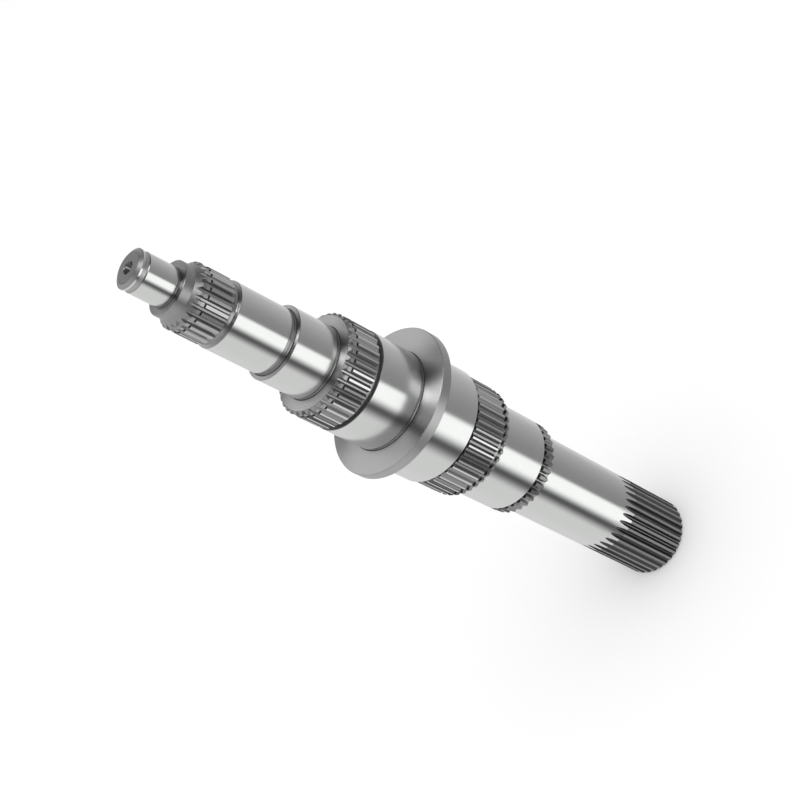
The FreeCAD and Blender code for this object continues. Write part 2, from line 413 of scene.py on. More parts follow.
@dataclass(frozen=True)
class Station:
    """One ring of the shaft's skin, and the finish of the band above it.

    Cut is 0 on a plain ring and 1 on a toothed one. Below 1 the ring's points only draw together,
    ready for the teeth. Flare is how far each flank stands back.
    """

    radius: float
    height: float
    finish: ToothFinish
    cut: float = 0.0
    flare: float = 0.0

    def towards(self, below: "Station", share: float) -> "Station":
        """A ring between this one and the next one down.

        Args:
            below: The next ring.
            share: How far towards it, from 0 to 1.

        Returns:
            The ring, with the finish of the band that it lies in.
        """
        def mix(start: float, end: float) -> float:
            """A value part of the way from one to another."""
            return start + (end - start) * share

        return Station(
            mix(self.radius, below.radius),
            mix(self.height, below.height),
            below.finish,
            mix(self.cut, below.cut),
            mix(self.flare, below.flare),
        )


@dataclass
class Outline:
    """The rings of a stretch, added one by one from the top down.

    A long band between two soft corners would shade as if it were bent all along. So each soft
    corner of a long band gets a further ring close beside it.
    """

    HOLLOW_STEPS = 4
    BEVEL = ((1.0, 0.0), (0.55, 0.2), (0.25, 0.5), (0.0, 1.0))

    stations: list[Station] = field(default_factory=list)
    flat_angle: float = 1.0
    soft_angle: float = 30.0
    long_band: float = 0.8
    hold: float = 0.12

    def held(self) -> list[Station]:
        """Adds the rings beside the soft corners.

        Returns:
            All the rings, from the top down.
        """
        rows = self.stations
        bands = list(zip(rows, rows[1:]))
        ways = [math.degrees(math.atan2(b.height - a.height, b.radius - a.radius)) for a, b in bands]
        bends = [abs((b - a + 180) % 360 - 180) for a, b in zip(ways, ways[1:])]
        soft = [False] + [self.flat_angle < bend < self.soft_angle for bend in bends] + [False]
        kept = [rows[0]]
        for number, (above, below) in enumerate(bands):
            length = math.hypot(below.radius - above.radius, below.height - above.height)
            if length > self.long_band and soft[number]:
                kept.append(above.towards(below, self.hold / length))
            if length > self.long_band and soft[number + 1]:
                kept.append(above.towards(below, 1 - self.hold / length))
            kept.append(below)
        return kept

    def to(self, radius: float, height: float, finish: Surface = Surface.TURNED, cut: float = 0.0) -> None:
        """Adds a plain ring.

        Args:
            radius: Its radius.
            height: Its height.
            finish: The finish of the band above it.
            cut: How far its points draw together where teeth will start, from 0 to 1.
        """
        self.stations.append(Station(radius, height, ToothFinish(finish, finish, finish), cut))

    def teeth(self, radius: float, height: float, finish: ToothFinish, flare: float = 0.0) -> None:
        """Adds a toothed ring.

        Args:
            radius: The radius over the teeth there.
            height: Its height.
            finish: The finishes of the band above it.
            flare: How far each flank stands back there.
        """
        self.stations.append(Station(radius, height, finish, 1.0, flare))

    def hollow(self, radius: float, height: float, size: float, rising: bool = False) -> None:
        """Adds a hollow corner between a cylinder and a face, with painted shade in its half beside the
        face.

        Args:
            radius: The cylinder's radius.
            height: The face's height.
            size: The corner's radius.
            rising: True where the face lies above the cylinder and is drawn first.
        """
        way = -1 if rising else 1
        drawn = []
        for step in range(self.HOLLOW_STEPS + 1):
            turn = math.pi / 2 * step / self.HOLLOW_STEPS
            out, up = size * (1 - math.cos(turn)), way * size * (1 - math.sin(turn))
            # The half beside the face is painted dark as shade in the corner.
            finish = Surface.TURNED if step <= self.HOLLOW_STEPS / 2 else Surface.SHADED
            drawn.append((radius + out, height + up, finish))
        for ring in reversed(drawn) if rising else drawn:
            self.to(*ring)

    def brow(self, radius: float, face: float, size: float, finish: Surface = Surface.TURNED,
             rising: bool = False, above: Surface = Surface.FACED) -> None:
        """Adds a bevelled edge between a cylinder and a face, with its corners eased.

        Args:
            radius: The cylinder's radius.
            face: The face's height.
            size: The bevel's size.
            finish: The finish of the bevel, and of the cylinder where it lies above.
            rising: True where the face lies above the cylinder and is drawn first.
            above: The finish of the face, where it is drawn first.
        """
        if rising:
            self.to(radius - size, face, above)
            for inward, down in self.BEVEL[1:]:
                self.to(radius - inward * size, face - down * size, finish)
            return
        self.to(radius, face + size, finish)
        for inward, down in self.BEVEL[2::-1]:
            self.to(radius - inward * size, face + down * size)


@dataclass
class ToothedStretch(ABC):
    """A stretch of the shaft round one spline: everything there turns about the same tooth pitch.

    Its first and last rings lie on faces, where the next stretches join on, and face_reach is how
    far from the nearest edge such a ring lies. Where no hob rises, hob_start is above the shaft.
    Row end is the rings that ease a row's upper ends, whose lands carry painted shade: shares of the
    ease, inwards and down, and of the flare. Nearly cut is the largest cut of a plain ring.
    """

    NEARLY_CUT = 0.98
    ROW_END = ((1.0, 0.0, 1.0), (0.35, 0.3, 0.4))

    name: str
    teeth: int
    tip_radius: float
    tooth_height: float
    land_share: float
    flank_angle: float
    turn: float
    root_fillet: float = 0.15
    tip_edge: float = 0.08
    hob_start: float = 1000.0
    hob_radius: float = 35.0
    corner: float = 0.8
    relief_depth: float = 0.45
    groove_clearance: float = 0.05
    wall_slope: float = 0.02
    front_ease: float = 0.2
    foot_ease: float = 0.12
    ring_floor_dip: float = 0.1

    @property
    def floor_radius(self) -> float:
        """Radius of the spaces' floors."""
        return self.tip_radius - self.tooth_height

    @property
    def pitch(self) -> float:
        """Angle from tooth to tooth, in radians."""
        return 2 * math.pi / self.teeth

    @property
    def slope(self) -> float:
        """How much wider a flank makes its space for each unit of height."""
        return math.tan(math.radians(self.flank_angle) + self.pitch / 2)

    @property
    def floor_half_width(self) -> float:
        """Half the width of a space at its floor."""
        half_mouth = self.tip_radius * math.sin(self.pitch / 2 * (1 - self.land_share))
        return half_mouth - self.tooth_height * self.slope

    @abstractmethod
    def outline(self) -> Outline:
        """The rings of this stretch, from the top down."""

    def draw_tooth_row(self, rings: Outline, high: float, low: float, ease: float, flare: float,
                       finish: ToothFinish = HUB_TEETH) -> None:
        """Adds a row of teeth whose upper ends are eased over the tips and at the flanks, with painted shade
        on the eased ends' lands.

        Args:
            rings: The stretch's rings.
            high: The row's upper end.
            low: Its lower end.
            ease: How far the upper ends are eased along the axis.
            flare: How far the flanks stand back at the upper ends.
            finish: The row's finishes.
        """
        tip = self.tip_radius
        for inward, down, back in self.ROW_END:
            rings.teeth(tip - inward * ease, high - down * ease, SHADED_TOOTH_END, back * flare)
        rings.teeth(tip, high - ease, finish)
        rings.teeth(tip, low + self.foot_ease, finish)
        rings.teeth(tip - self.foot_ease, low, finish)

    def draw_ring_groove(self, rings: Outline, high: float, low: float, depth: float, shade: float,
                         finish: ToothFinish) -> None:
        """Adds the front teeth's lower ends, and the snap ring groove below them, with painted shade on its
        upper wall and at the foot of its floor.

        Args:
            rings: The stretch's rings.
            high: The groove's upper wall.
            low: Its lower wall.
            depth: Its depth.
            shade: The height of the painted shade at the foot of its floor.
            finish: The front teeth's finishes.
        """
        tip, floor = self.tip_radius, self.tip_radius - depth
        rings.teeth(tip, high + self.front_ease, finish)
        rings.teeth(tip - self.front_ease, high, finish)
        rings.teeth(floor, high - self.wall_slope, SHADED_TOOTH_END)
        rings.teeth(floor, low + shade, RING_GROOVE)
        rings.teeth(floor - self.ring_floor_dip, low + self.wall_slope, SHADED_TOOTH_END)

    def draw_relief(self, rings: Outline, radius: float, face: float, width: float, corner: float) -> None:
        """Adds a journal's lower end, and the undercut between it and the face below, with painted shade on
        the undercut's slope.

        Args:
            rings: The stretch's rings.
            radius: The journal's radius.
            face: The face's height.
            width: The undercut's width.
            corner: Its corner's radius.
        """
        floor = radius - self.relief_depth
        rings.to(radius, face + width, Surface.GROUND)
        # The undercut's slope is painted dark as shade.
        rings.to(floor, face + width - self.relief_depth, Surface.SHADED)
        rings.hollow(floor, face, corner)

    def station_mesh(self, rows: list[Station]) -> bpy.types.Mesh:
        """Puts the rings' sizes in a mesh: one point for each ring.

        Args:
            rows: The rings.

        Returns:
            The mesh, with radius as X and height as Z, and the attributes cut and flare.
        """
        mesh = bpy.data.meshes.new(self.name)
        mesh.from_pydata([(s.radius * MM, 0.0, s.height * MM) for s in rows], [], [])
        for name, values in (("cut", [s.cut for s in rows]), ("flare", [s.flare * MM for s in rows])):
            attribute = mesh.attributes.new(name, "FLOAT", "POINT")
            attribute.data.foreach_set("value", values)
        return mesh

    def skin(self, tree: Tree, finishes: dict[Surface, bpy.types.Material]) -> "Skin":
        """Builds the stretch's skin.

        Args:
            tree: The Geometry Nodes that wrap a skin round the rings.
            finishes: The shaft's materials.

        Returns:
            The open skin, from its top ring to its bottom ring.
        """
        rows = self.outline().held()
        holder = bpy.data.objects.new(self.name, self.station_mesh(rows))
        bpy.context.scene.collection.objects.link(holder)
        modifier = holder.modifiers.new("skin", "NODES")
        modifier.node_group = tree
        values = {
            "Teeth": self.teeth,
            "Rings": len(rows),
            "Floor radius": self.floor_radius * MM,
            "Floor half width": self.floor_half_width * MM,
            "Flank slope": self.slope,
            "Root fillet": self.root_fillet * MM,
            "Tip edge": self.tip_edge * MM,
            "Turn": math.radians(self.turn - 90),
            "Hob start": self.hob_start * MM,
            "Hob radius": self.hob_radius * MM,
            "Finish": finishes[Surface.GROUND],
        }
        for item in tree.interface.items_tree:
            if item.in_out == "INPUT" and item.name in values:
                modifier[item.identifier] = values[item.name]
        graph = bpy.context.evaluated_depsgraph_get()
        made = bpy.data.meshes.new_from_object(holder.evaluated_get(graph))
        holder.modifiers.remove(modifier)
        points = np.zeros(len(made.vertices) * 3)
        made.vertices.foreach_get("co", points)
        bpy.data.objects.remove(holder)
        bpy.data.meshes.remove(made)
        rings = points.reshape(len(rows), self.teeth * SkinTree.STEPS, 3)
        log.info("%s: %d teeth, %d rings of %d points", self.name, self.teeth, *rings.shape[:2])
        return Skin(rings, rows)


@dataclass
class Skin:
    """An open skin: rings of points, and the station of each."""

    rings: np.ndarray
    stations: list[Station]

    def land_borders(self) -> np.ndarray:
        """Which of the points are on a land's border, ring by ring."""
        cut = np.array([station.cut == 1.0 for station in self.stations])
        step = np.abs(np.arange(self.rings.shape[1]) % SkinTree.STEPS - SkinTree.HALF)
        return np.logical_and.outer(cut, step == SkinTree.LAND_STEP).ravel()

    def faces(self, first: int) -> tuple[list[tuple[int, ...]], list[int]]:
        """The faces between the rings.

        Args:
            first: The number of the first point in the whole shaft's mesh.

        Returns:
            The faces' corners, and the slots of their finishes.
        """
        count, columns = self.rings.shape[:2]
        column = np.arange(columns)
        after = (column + 1) % columns
        across = np.abs(column % SkinTree.STEPS + 0.5 - SkinTree.HALF)
        parts = [across > SkinTree.LAND_STEP, across < SkinTree.FLOOR_STEP]
        corners, slots = [], []
        for ring in range(count - 1):
            top, low = first + ring * columns, first + (ring + 1) * columns
            corners += np.stack([top + column, low + column, low + after, top + after], 1).tolist()
            finish = self.stations[ring + 1].finish
            kinds = [finish.land.slot, finish.floor.slot]
            slots += np.select(parts, kinds, finish.flank.slot).tolist()
        return corners, slots


class SkinTree:
    """The Geometry Nodes that wrap a toothed skin round a stretch's rings.

    Each ring has twelve points to a tooth pitch: five on each side of a space from its floor to the
    land, one in the middle of the floor and one in the middle of the land. A ring that isn't cut
    has them evenly round a circle. The hob's rise lifts the floors on a circle of its own.

    Steps count from the middle of a floor, at 0, to the middle of a land, at half the steps. Shares
    are the parts of a tooth's height at each. Spread keeps points that would meet a little apart.
    """

    STEPS = 12
    HALF = STEPS / 2
    LAND_STEP = 5
    FLOOR_STEP = 1
    SHARES = (0.0, 0.0, 0.22, 0.55, 0.92, 1.0, 1.0)
    SPREAD = 0.01
    STEP_TOLERANCE = 0.1
    HOB_REACH = 0.9
    SIZES = ("Floor radius", "Floor half width", "Flank slope", "Root fillet", "Tip edge", "Turn",
             "Hob start", "Hob radius")

    def __init__(self) -> None:
        self.tree = bpy.data.node_groups.new("toothed_skin", "GeometryNodeTree")

    def build(self) -> Tree:
        """Builds the tree.

        Returns:
            The tree, with named inputs for a stretch's sizes.
        """
        tree = self.tree
        kinds = {"Stations": "Geometry", "Teeth": "Int", "Rings": "Int",
                 **dict.fromkeys(self.SIZES, "Float"), "Finish": "Material"}
        for name, kind in kinds.items():
            tree.interface.new_socket(name, in_out="INPUT", socket_type=f"NodeSocket{kind}")
        tree.interface.new_socket("Skin", in_out="OUTPUT", socket_type="NodeSocketGeometry")
        given = add_node(tree, "NodeGroupInput").outputs
        teeth = Value(tree, given["Teeth"])
        columns = teeth * self.STEPS
        counts = {"Vertices": columns, "Side Segments": Value(tree, given["Rings"]) - 1}
        tube = add_node(tree, "GeometryNodeMeshCylinder", {"fill_type": "NONE"}, counts)
        place = {"Geometry": tube.outputs["Mesh"], "Position": self.place(given, teeth, columns)}
        moved = add_node(tree, "GeometryNodeSetPosition", inputs=place).outputs["Geometry"]
        real = add_node(tree, "GeometryNodeRealizeInstances", inputs={"Geometry": moved})
        look = {"Geometry": real.outputs["Geometry"], "Material": given["Finish"]}
        dressed = add_node(tree, "GeometryNodeSetMaterial", inputs=look)
        add_node(tree, "NodeGroupOutput", inputs={"Skin": dressed.outputs["Geometry"]})
        return tree

    def station(self, given: bpy.types.NodeInputs, ring: Value, name: str | None = None) -> Socket:
        """Reads a ring's station.

        Args:
            given: The tree's inputs.
            ring: The ring's number.
            name: The attribute to read, or None for the place.

        Returns:
            What it holds.
        """
        if name is None:
            kind = {"data_type": "FLOAT_VECTOR"}
            source = add_node(self.tree, "GeometryNodeInputPosition").outputs["Position"]
        else:
            kind = {"data_type": "FLOAT"}
            reader = add_node(self.tree, "GeometryNodeInputNamedAttribute", kind, {"Name": name})
            source = reader.outputs["Attribute"]
        inputs = {"Geometry": given["Stations"], "Value": source, "Index": ring}
        return add_node(self.tree, "GeometryNodeSampleIndex", kind, inputs).outputs["Value"]

    def share(self, step: Value) -> Value:
        """Looks up how much of a tooth's height lies below a step.

        Args:
            step: The step.

        Returns:
            The share.
        """
        choice = add_node(self.tree, "GeometryNodeIndexSwitch", {"data_type": "FLOAT"})
        while len(choice.index_switch_items) < len(self.SHARES):
            choice.index_switch_items.new()
        for number, share in enumerate(self.SHARES):
            choice.inputs[str(number)].default_value = share
        self.tree.links.new(step.socket, choice.inputs["Index"])
        return Value(self.tree, choice.outputs["Output"])

    def place(self, given: bpy.types.NodeInputs, teeth: Value, columns: Value) -> Socket:
        """Works out where each point of the skin goes.

        Args:
            given: The tree's inputs.
            teeth: The number of teeth.
            columns: The number of points in a ring.

        Returns:
            The place of each point.
        """
        tree = self.tree
        size = {name: Value(tree, given[name]) for name in self.SIZES}
        index = Value(tree, add_node(tree, "GeometryNodeInputIndex").outputs["Index"])
        ring = ((index + 0.5) / columns).floor()
        column = index - ring * columns
        tooth = ((column + 0.5) / self.STEPS).floor()
        offset = column - tooth * self.STEPS - self.HALF
        step, side = abs(offset), offset.math("SIGN")
        top, _, height = split(tree, self.station(given, ring))
        cut, flare = (Value(tree, self.station(given, ring, name)) for name in ("cut", "flare"))
        hob = size["Hob radius"]
        reach = (height - size["Hob start"]).at_least(0.0).at_most(hob * self.HOB_REACH)
        rise = hob - (hob * hob - reach * reach).root()
        depth = (top - size["Floor radius"] - rise).at_least(0.0) * cut.floor()
        above = depth * self.share(step)
        radius = top - depth + above
        fillet = size["Root fillet"]
        left = (1 - above / fillet).at_least(0.0)
        width = size["Floor half width"] + above * size["Flank slope"] - fillet * left * left + flare
        on_edge = step.math("COMPARE", self.LAND_STEP, self.STEP_TOLERANCE)
        width = (width + step * (self.SPREAD * MM) + on_edge * size["Tip edge"]) * step.at_most(1.0)
        half_pitch = math.pi / teeth
        cut_angle = (width / radius).math("ARCSINE")
        on_land = step.math("COMPARE", self.HALF, self.STEP_TOLERANCE)
        cut_angle = cut_angle * (1 - on_land) + half_pitch * on_land
        even_angle = half_pitch * step / self.HALF
        angle = cut_angle * cut + even_angle * (1 - cut)
        turn = size["Turn"] + half_pitch * 2 * (tooth + 0.5) + side * angle
        return join(tree, radius * turn.cos(), radius * turn.sin(), height)


@dataclass(frozen=True)
class CentreHole:
    """A hole in an end face that the lathe's centre fits: a cone, and a small hole beyond it."""

    mouth: float = 3.75
    mouth_edge: float = 0.1
    lip: float = 0.15
    lip_depth: float = 0.2
    pilot: float = 1.6
    cone_depth: float = 3.72
    pilot_depth: float = 3.0
    tip: float = 0.35
    tip_depth: float = 0.7

    def draw(self, rings: Outline, face: float, facing_up: bool) -> None:
        """Adds the hole's rings: from its tip outwards where the face looks up, and else inwards.

        Args:
            rings: The stretch's rings.
            face: The end face's height.
            facing_up: True where the face looks up.
        """
        floor = self.cone_depth + self.pilot_depth
        places = [
            (self.mouth + self.mouth_edge, 0.0),
            (self.mouth - self.lip, self.lip_depth),
            (self.pilot, self.cone_depth),
            (self.pilot, floor),
            (self.tip, floor + self.tip_depth),
        ]
        bands = [Surface.CENTRE, Surface.CENTRE, Surface.TURNED, Surface.TURNED]
        if facing_up:
            way, drawn = -1, zip(reversed(places), [Surface.TURNED, *reversed(bands)])
        else:
            way, drawn = 1, zip(places, [Surface.FACED, *bands])
        for (radius, depth), finish in drawn:
            rings.to(radius, face + way * depth, finish)


@dataclass
class PilotEnd(ToothedStretch):
    """Nose, pilot journal, collar, pilot spline, and the two small journals below it.

    Nose ease, lead in and hub end are rings that round an edge off: how far they lie inside or
    outside it, how far above or below it, and how far the flanks stand back there. The groove's
    turns are its rings' angles round its hollow, in degrees. The rings are toothed up to the teeth's
    end turn. Beyond it their points spread out, over the spreading turn, up to the round turn.
    """

    NOSE_EASE = ((-0.2, 0.0), (0.3, -0.1), (-0.35, 0.15), (0.0, -0.15))
    NOSE_FINISHES = (Surface.NOSE, Surface.NOSE, Surface.DULL, Surface.DULL)
    LEAD_IN = ((0.9, 0.9), (0.25, 0.2), (0.0, -0.15))
    # The hub end's rings carry painted shade on their lands.
    HUB_END = ((0.5, 0.0, 0.2), (0.15, 0.25, 0.08))
    GROOVE_TURNS = (0, 15, 30, 45, 60, 68, 79, 90, 101, 112, 124, 136, 148, 160)
    TEETH_END_TURN = 60
    ROUND_TURN = 112
    SPREADING_TURN = 44

    name: str = "pilot_end"
    teeth: int = 25
    tip_radius: float = 18.85
    tooth_height: float = 1.75
    land_share: float = 0.41
    flank_angle: float = 16.0
    turn: float = 2.2
    centre: CentreHole = CentreHole()
    top: float = 413.75
    nose_edge_length: float = 1.3
    nose_edge_height: float = 2.5
    nose_start: float = 411.05
    nose_groove_start: float = 408.25
    nose_groove_depth: float = 0.45
    nose_groove_edge: float = 0.1
    nose_groove_corner: float = 0.3
    pilot_journal_radius: float = 11.35
    pilot_journal_start: float = 389.85
    pilot_relief_width: float = 1.3
    pilot_corner: float = 0.4
    collar_radius: float = 15.5
    collar_start: float = 384.15
    collar_edge: float = 0.3
    lead_in_start: float = 380.8
    front_start: float = 379.0
    ring_groove_start: float = 375.9
    ring_groove_depth: float = 0.7
    ring_shade: float = 0.6
    hub_ease: float = 0.6
    hub_start: float = 361.7
    tool_groove_start: float = 357.9
    long_journal_radius: float = 19.15
    long_journal_start: float = 321.2
    step_relief_width: float = 3.6
    middle_journal_radius: float = 21.7
    middle_journal_start: float = 293.2
    relief_width: float = 2.2
    journal_edge: float = 0.5
    face_reach: float = 2.0

    def outline(self) -> Outline:
        """The rings of this stretch, from the top down."""
        rings = Outline()
        self.draw_nose(rings)
        self.draw_pilot_spline(rings)
        self.draw_small_journals(rings)
        return rings

    def draw_nose(self, rings: Outline) -> None:
        """Adds the centre hole, the nose, its groove, the pilot journal and the collar.

        Args:
            rings: The stretch's rings.
        """
        top, radius = self.top, self.pilot_journal_radius
        floor, edge = radius - self.nose_groove_depth, self.nose_groove_edge
        self.centre.draw(rings, top, facing_up=True)
        inner, outer = (radius - self.nose_edge_height, top), (radius, top - self.nose_edge_length)
        bevel = zip((inner, inner, outer, outer), self.NOSE_EASE, self.NOSE_FINISHES)
        for (across, height), (out, up), finish in bevel:
            rings.to(across + out, height + up, finish)
        rings.to(radius, self.nose_start + edge, Surface.GROUND)
        rings.to(radius - edge, self.nose_start)
        rings.to(floor, self.nose_start - self.nose_groove_corner)
        rings.to(floor, self.nose_groove_start + self.nose_groove_corner, Surface.MATT)
        rings.to(radius - edge, self.nose_groove_start)
        rings.to(radius, self.nose_groove_start - edge)
        self.draw_relief(rings, radius, self.pilot_journal_start, self.pilot_relief_width, self.pilot_corner)
        rings.brow(self.collar_radius, self.pilot_journal_start, self.collar_edge, rising=True,
                   above=Surface.COLLAR_FACE)
        rings.to(self.collar_radius, self.collar_start, Surface.DULL)

    def draw_pilot_spline(self, rings: Outline) -> None:
        """Adds the lead-in, the front teeth, the snap ring groove and the hub teeth.

        Args:
            rings: The stretch's rings.
        """
        tip, floor, gap = self.tip_radius, self.floor_radius, self.groove_clearance
        drop = (tip - floor) / (tip - self.collar_radius)
        start = self.lead_in_start + (self.collar_start - self.lead_in_start) * drop
        rings.to(floor - gap, start + gap, Surface.DULL)
        rings.teeth(floor + gap, start - gap, PILOT_FRONT)
        for inward, up in self.LEAD_IN:
            rings.teeth(tip - inward, self.lead_in_start + up, PILOT_FRONT)
        self.draw_ring_groove(rings, self.front_start, self.ring_groove_start, self.ring_groove_depth,
                              self.ring_shade, PILOT_FRONT)
        for inward, down, flare in self.HUB_END:
            rings.teeth(tip - inward, self.ring_groove_start - down, SHADED_TOOTH_END, flare)
        rings.teeth(tip, self.ring_groove_start - self.hub_ease, PILOT_TEETH)
        self.draw_tool_groove(rings)

    def draw_tool_groove(self, rings: Outline) -> None:
        """Adds the round groove below the hub teeth, which ends them in a hollow.

        Args:
            rings: The stretch's rings.
        """
        size = (self.hub_start - self.tool_groove_start) / 2
        middle = self.tool_groove_start + size
        for degrees in self.GROOVE_TURNS:
            turn = math.radians(degrees)
            radius, height = self.tip_radius - size * math.sin(turn), middle + size * math.cos(turn)
            if degrees <= self.TEETH_END_TURN:
                rings.teeth(radius, height, GROOVED_END if degrees else PILOT_TEETH)
            else:
                cut = max(0.0, (self.ROUND_TURN - degrees) / self.SPREADING_TURN)
                rings.to(radius, height, cut=min(self.NEARLY_CUT, cut))

    def draw_small_journals(self, rings: Outline) -> None:
        """Adds the long journal and the middle journal, each with its undercut.

        Args:
            rings: The stretch's rings.
        """
        radius, start = self.middle_journal_radius, self.middle_journal_start
        rings.brow(self.long_journal_radius, self.tool_groove_start, self.journal_edge, rising=True)
        self.draw_relief(rings, self.long_journal_radius, self.long_journal_start, self.step_relief_width,
                         self.corner)
        rings.brow(radius, self.long_journal_start, self.journal_edge, rising=True)
        self.draw_relief(rings, radius, start, self.relief_width, self.corner)
        rings.to(radius + self.face_reach, start, Surface.HUB_FACE)


@dataclass
class UpperHub(ToothedStretch):
    """Upper hub spline, its grooves and the journal above the flange."""

    LEAD_IN_EASE = ((0.35, 0.1), (0.0, -0.3))

    name: str = "upper_hub"
    teeth: int = 36
    tip_radius: float = 29.9
    tooth_height: float = 1.85
    land_share: float = 0.28
    flank_angle: float = 30.0
    turn: float = 1.9
    face_reach: float = 1.5
    start: float = 293.2
    front_height: float = 0.15
    lead_in: float = 1.0
    front_start: float = 290.8
    ring_groove_start: float = 287.6
    ring_groove_depth: float = 1.0
    ring_shade: float = 0.5
    end_ease: float = 0.6
    end_flare: float = 0.3
    hub_start: float = 272.4
    tool_groove_start: float = 270.9
    deep_groove_start: float = 269.6
    deep_clearance: float = 1.0
    journal_radius: float = 30.0
    journal_edge: float = 0.2
    flange_face: float = 238.9
    flange_ring_radius: float = 43.0
    relief_width: float = 2.2

    def outline(self) -> Outline:
        """The rings of this stretch, from the top down."""
        rings = Outline()
        floor, deep = self.floor_radius - self.groove_clearance, self.floor_radius - self.deep_clearance
        rings.to(self.floor_radius - self.face_reach, self.start, Surface.HUB_FACE)
        rings.to(floor, self.start, Surface.HUB_FACE)
        # Painted shade on the lands at the hub teeth's upper ends.
        rings.teeth(self.floor_radius + self.front_height, self.start, SHADED_TOOTH_END)
        for inward, up in self.LEAD_IN_EASE:
            rings.teeth(self.tip_radius - inward, self.start - self.lead_in + up, FRONT_TEETH)
        self.draw_ring_groove(rings, self.front_start, self.ring_groove_start, self.ring_groove_depth,
                              self.ring_shade, FRONT_TEETH)
        self.draw_tooth_row(rings, self.ring_groove_start, self.hub_start, self.end_ease, self.end_flare)
        rings.to(floor, self.hub_start)
        rings.to(floor, self.tool_groove_start, Surface.MATT)
        rings.to(deep, self.tool_groove_start, Surface.DEEP)
        rings.to(deep, self.deep_groove_start, Surface.DEEP)
        rings.brow(self.journal_radius, self.deep_groove_start, self.journal_edge, rising=True,
                   above=Surface.DEEP)
        self.draw_relief(rings, self.journal_radius, self.flange_face, self.relief_width, self.corner)
        rings.to(self.flange_ring_radius, self.flange_face, Surface.FACED)
        return rings


@dataclass
class LowerHub(ToothedStretch):
    """Flange, the journal below it, and the lower hub spline with its grooves.

    Lock foot is the ring that rounds the locking teeth's lower ends off: a share of their taper's
    drop, how far above their ends it lies, and how far the flanks stand back there.
    """

    LOCK_FOOT = (0.85, 0.35, 0.1)

    name: str = "lower_hub"
    teeth: int = 41
    tip_radius: float = 34.0
    tooth_height: float = 1.85
    land_share: float = 0.24
    flank_angle: float = 30.0
    turn: float = -2.2
    face_reach: float = 0.4
    flange_radius: float = 44.6
    flange_top: float = 238.9
    flange_start: float = 232.4
    flange_edge: float = 0.6
    journal_radius: float = 35.0
    journal_start: float = 201.5
    journal_edge: float = 0.3
    tool_groove_start: float = 199.0
    end_ease: float = 1.0
    end_flare: float = 0.6
    hub_start: float = 178.4
    lock_groove_start: float = 176.1
    lock_ease: float = 0.3
    lock_flare: float = 0.3
    lock_start: float = 173.8
    lead_in_angle: float = 20.0
    foot_reach: float = 1.2

    def outline(self) -> Outline:
        """The rings of this stretch, from the top down."""
        rings = Outline()
        tip, floor = self.tip_radius, self.floor_radius - self.groove_clearance
        drop = (self.lock_groove_start - self.lock_start) * math.tan(math.radians(self.lead_in_angle))
        rings.to(self.flange_radius - self.flange_edge - self.face_reach, self.flange_top, Surface.FACED)
        rings.brow(self.flange_radius, self.flange_top, self.flange_edge, Surface.MATT, rising=True)
        rings.brow(self.flange_radius, self.flange_start, self.flange_edge, Surface.MATT)
        rings.hollow(self.journal_radius, self.flange_start, self.corner, rising=True)
        rings.brow(self.journal_radius, self.journal_start, self.journal_edge, Surface.GROUND)
        rings.to(floor, self.journal_start)
        rings.to(floor, self.tool_groove_start)
        self.draw_tooth_row(rings, self.tool_groove_start, self.hub_start, self.end_ease, self.end_flare,
                            LOWER_TEETH)
        rings.to(floor, self.hub_start)
        rings.to(floor, self.lock_groove_start)
        share, up, flare = self.LOCK_FOOT
        # Painted shade on the lands at the locking teeth's upper ends.
        rings.teeth(tip - self.lock_ease, self.lock_groove_start, SHADED_TOOTH_END)
        rings.teeth(tip - self.foot_ease, self.lock_groove_start - self.lock_ease, LOCK_TEETH)
        rings.teeth(tip - share * drop, self.lock_start + up, LOCK_TEETH, flare)
        rings.teeth(tip - drop, self.lock_start, LOCK_TEETH, self.lock_flare)
        rings.to(floor, self.lock_start)
        rings.to(floor - self.foot_reach, self.lock_start)
        return rings


@dataclass
class EndSpline(ToothedStretch):
    """The journal below the lower hub, and the short spline at its foot, whose teeth end in points."""

    name: str = "end_spline"
    teeth: int = 36
    tip_radius: float = 28.9
    tooth_height: float = 1.85
    land_share: float = 0.42
    flank_angle: float = 25.0
    turn: float = 2.6
    face_reach: float = 1.6
    start: float = 173.8
    journal_radius: float = 29.0
    journal_start: float = 138.8
    journal_edge: float = 0.3
    groove_start: float = 137.1
    end_drop: float = 0.3
    end_ease: float = 0.5
    spline_start: float = 129.7
    point_length: float = 3.6
    point_flare: float = 0.9
    point_drop: float = 0.4
    point_steps: int = 5
    foot_reach: float = 0.6

    def outline(self) -> Outline:
        """The rings of this stretch, from the top down."""
        rings = Outline()
        tip, floor = self.tip_radius, self.floor_radius - self.groove_clearance
        rings.to(self.journal_radius + self.face_reach, self.start)
        rings.hollow(self.journal_radius, self.start, self.corner, rising=True)
        rings.brow(self.journal_radius, self.journal_start, self.journal_edge, Surface.GROUND)
        rings.to(floor, self.journal_start)
        rings.to(floor, self.groove_start)
        # Painted shade on the lands at the spline's upper ends.
        rings.teeth(tip - self.end_drop, self.groove_start, SHADED_TOOTH_END)
        rings.teeth(tip, self.groove_start - self.end_ease, SHADED_TOOTH_END)
        for step in range(self.point_steps + 1):
            share = step / self.point_steps
            height = self.spline_start + self.point_length * (1 - share)
            flare = self.point_flare * share ** 1.5
            rings.teeth(tip - self.point_drop * share ** 2, height, END_TEETH, flare)
        rings.to(floor, self.spline_start)
        rings.to(floor - self.foot_reach, self.spline_start)
        return rings


